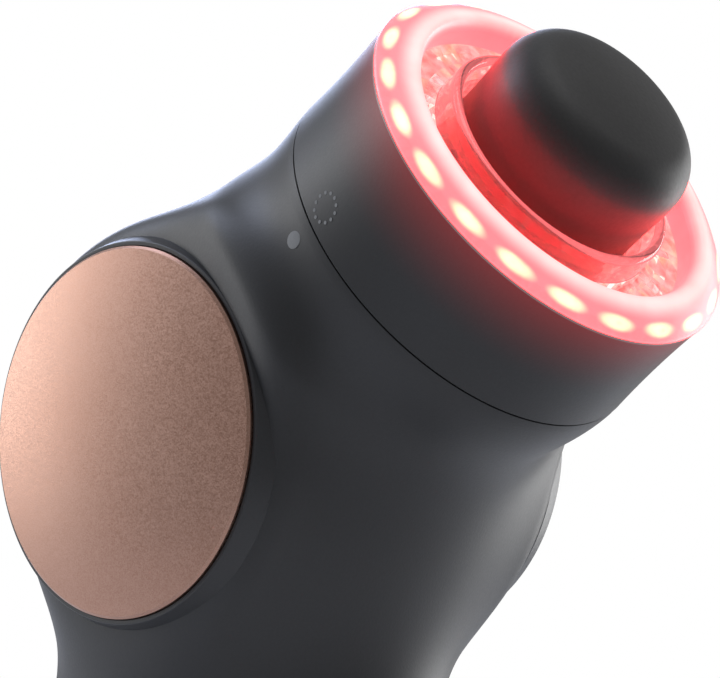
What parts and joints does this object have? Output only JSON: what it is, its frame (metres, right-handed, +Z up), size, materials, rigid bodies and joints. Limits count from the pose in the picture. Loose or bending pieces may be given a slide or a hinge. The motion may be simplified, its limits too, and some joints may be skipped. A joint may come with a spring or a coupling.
{
  "type": "percussive facial massager",
  "caption": "Handheld percussive facial massager: tilted barrel on a round handle, domed side plates, soft tip and a removable light ring.",
  "frame": {"origin": "centre of the flat base face", "axes": "+Z up the handle, +X to the side the barrel leans towards, Y along the motor axis"},
  "size_m": [0.0931, 0.0644, 0.1705],
  "materials": {
    "soft_touch_body": "soft-touch coat",
    "soft_touch_collar": "soft-touch coat",
    "side_plate": "bead-blasted, anodised",
    "keys": "satin",
    "marks": "printed",
    "tip_silicone": "matt",
    "dark_plastic": "moulded",
    "rubber": "matt",
    "seal": "matt",
    "frosted_lens": "frosted",
    "clear_optic": "polished",
    "white_plastic": "moulded",
    "led": "moulded",
    "circuit_board": "solder mask",
    "white_board": "solder mask",
    "chips": "moulded",
    "cell_wrap": "shrink sleeve",
    "nickel": "nickel plated",
    "gold_contact": "gold plated",
    "bronze": "sintered",
    "copper": "enamelled wire",
    "cast_aluminium": "die-cast",
    "steel": "ground",
    "lamination": "stamped stack"
  },
  "bodies": {
    "handpiece": {"main_housing": "soft_touch_body", "base_cap": "soft_touch_body", "base_screws": "steel", "charge_socket": "steel", "charge_board": "circuit_board", "charge_chips": "chips", "battery_cells": "cell_wrap", "battery_tabs": "nickel", "battery_holder": "dark_plastic", "control_board": "circuit_board", "board_chips": "chips", "board_header": "dark_plastic", "button_board": "circuit_board", "tact_switches": "chips", "status_light_pipe": "clear_optic", "alignment_dot": "marks", "left_plate_carrier": "soft_touch_collar", "left_side_plate": "side_plate", "right_plate_carrier": "soft_touch_collar", "right_side_plate": "side_plate", "chassis_frame": "cast_aluminium", "crankcase_cover": "cast_aluminium", "cover_screws": "steel", "damper_mounts": "rubber", "motor_can": "steel", "motor_end_cap": "cast_aluminium", "shaft_bearings": "steel", "motor_stator": "lamination", "motor_windings": "copper", "motor_screws": "steel", "plunger_bushes": "bronze", "dust_boot": "rubber", "nose_plate": "dark_plastic", "nose_magnets": "nickel", "nose_contacts": "gold_contact"},
    "rotor": {"crank_disc": "steel", "crank_pin": "steel", "crank_roller": "steel", "motor_shaft": "steel", "rotor_core": "lamination", "rotor_magnets": "nickel"},
    "plunger": {"scotch_yoke": "cast_aluminium", "plunger_rod": "steel", "rod_o_ring": "rubber"},
    "massage_tip": {"tip_pad": "tip_silicone", "tip_core": "dark_plastic", "tip_magnet": "nickel"},
    "light_ring": {"ring_shell": "soft_touch_body", "ring_mark": "marks", "ring_magnets": "nickel", "ring_contact_pads": "gold_contact", "led_board": "white_board", "light_leds": "led", "ring_reflector": "white_plastic", "ring_optic": "clear_optic", "ring_collar": "clear_optic", "lens_seal": "seal", "ring_lens": "frosted_lens"},
    "power_key": {"power_button": "keys"},
    "light_key": {"light_button": "keys"}
  },
  "joints": [
    {"name": "plunger_slide", "type": "slide", "parent": "handpiece", "child": "plunger", "axis": [0.7071, 0, 0.7071], "range_m": [-0.0025, 0.0025]},
    {"name": "motor_spin", "type": "hinge", "parent": "handpiece", "child": "rotor", "pos_m": [0, 0, 0.108], "axis": [0, 1, 0], "continuous": true},
    {"name": "tip_release", "type": "slide", "parent": "plunger", "child": "massage_tip", "axis": [0.7071, 0, 0.7071], "range_m": [0, 0.022]},
    {"name": "ring_release", "type": "slide", "parent": "handpiece", "child": "light_ring", "axis": [0.7071, 0, 0.7071], "range_m": [0, 0.03]},
    {"name": "power_button_press", "type": "slide", "parent": "handpiece", "child": "power_key", "axis": [-1, 0, 0], "range_m": [0, 0.0005], "stiffness_N_per_m": 600, "springref_m": -0.0005},
    {"name": "light_button_press", "type": "slide", "parent": "handpiece", "child": "light_key", "axis": [-1, 0, 0], "range_m": [0, 0.0005], "stiffness_N_per_m": 600, "springref_m": -0.0005}
  ],
  "couplings": [
    {"joint": "motor_spin", "follows": "plunger_slide", "rad_per_m": 628.32}
  ]
}
